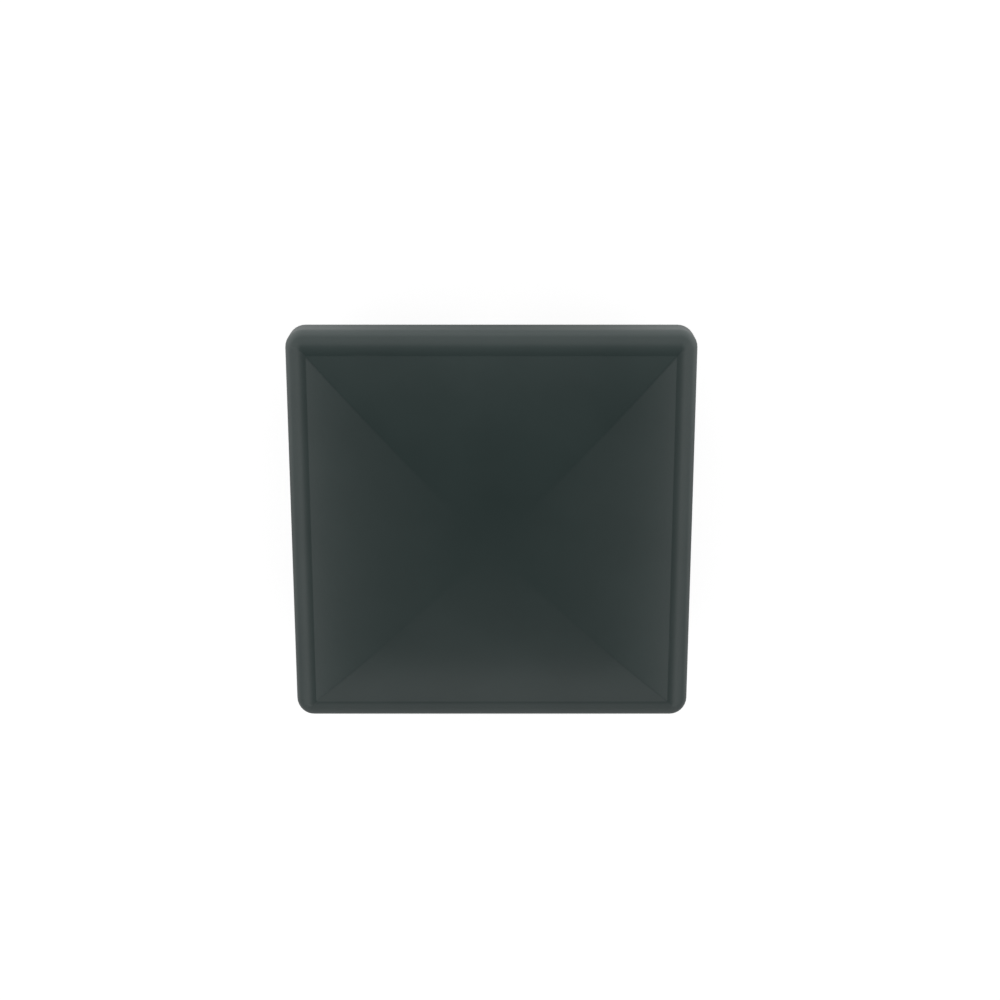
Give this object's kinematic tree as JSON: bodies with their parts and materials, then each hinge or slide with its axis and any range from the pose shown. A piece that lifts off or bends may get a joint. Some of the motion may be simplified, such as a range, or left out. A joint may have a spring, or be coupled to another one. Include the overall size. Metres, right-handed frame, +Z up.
{
  "type": "fence post cap",
  "caption": "Square post cap with a low domed pyramid roof and rounded rim, on a plug-in frame whose spring clips grip a hollow post.",
  "frame": {"origin": "centre of the plug-in frame's lower edge", "axes": "+Z up, out of the post and through the roof's peak; +X and +Y square to the four sides"},
  "size_m": [0.106, 0.106, 0.0426],
  "materials": {
    "shell_coat": "satin powder coat, anthracite grey",
    "gasket_rubber": "matt",
    "frame_nylon": "moulded, fine grain",
    "spring_steel": "rolled stainless strip",
    "screw_steel": "stainless, cold headed",
    "washer_steel": "stainless, stamped"
  },
  "bodies": {
    "cap": {"cap_shell": "shell_coat", "seal_gasket": "gasket_rubber", "insert_frame": "frame_nylon", "frame_screw_back_right": "screw_steel", "frame_washer_back_right": "washer_steel", "frame_screw_back_left": "screw_steel", "frame_washer_back_left": "washer_steel", "frame_screw_front_left": "screw_steel", "frame_washer_front_left": "washer_steel", "frame_screw_front_right": "screw_steel", "frame_washer_front_right": "washer_steel"},
    "clip_right": {"spring_clip_right": "spring_steel"},
    "clip_back": {"spring_clip_back": "spring_steel"},
    "clip_left": {"spring_clip_left": "spring_steel"},
    "clip_front": {"spring_clip_front": "spring_steel"}
  },
  "joints": [
    {"name": "clip_right_flex", "type": "hinge", "parent": "cap", "child": "clip_right", "pos_m": [0.0432, 0, 0.003], "axis": [0, -1, 0], "range_deg": [0, 9], "stiffness_Nm_per_rad": 2, "springref_deg": -2.86},
    {"name": "clip_back_flex", "type": "hinge", "parent": "cap", "child": "clip_back", "pos_m": [0, 0.0432, 0.003], "axis": [1, 0, 0], "range_deg": [0, 9], "stiffness_Nm_per_rad": 2, "springref_deg": -2.86},
    {"name": "clip_left_flex", "type": "hinge", "parent": "cap", "child": "clip_left", "pos_m": [-0.0432, 0, 0.003], "axis": [0, 1, 0], "range_deg": [0, 9], "stiffness_Nm_per_rad": 2, "springref_deg": -2.86},
    {"name": "clip_front_flex", "type": "hinge", "parent": "cap", "child": "clip_front", "pos_m": [0, -0.0432, 0.003], "axis": [-1, 0, 0], "range_deg": [0, 9], "stiffness_Nm_per_rad": 2, "springref_deg": -2.86}
  ]
}
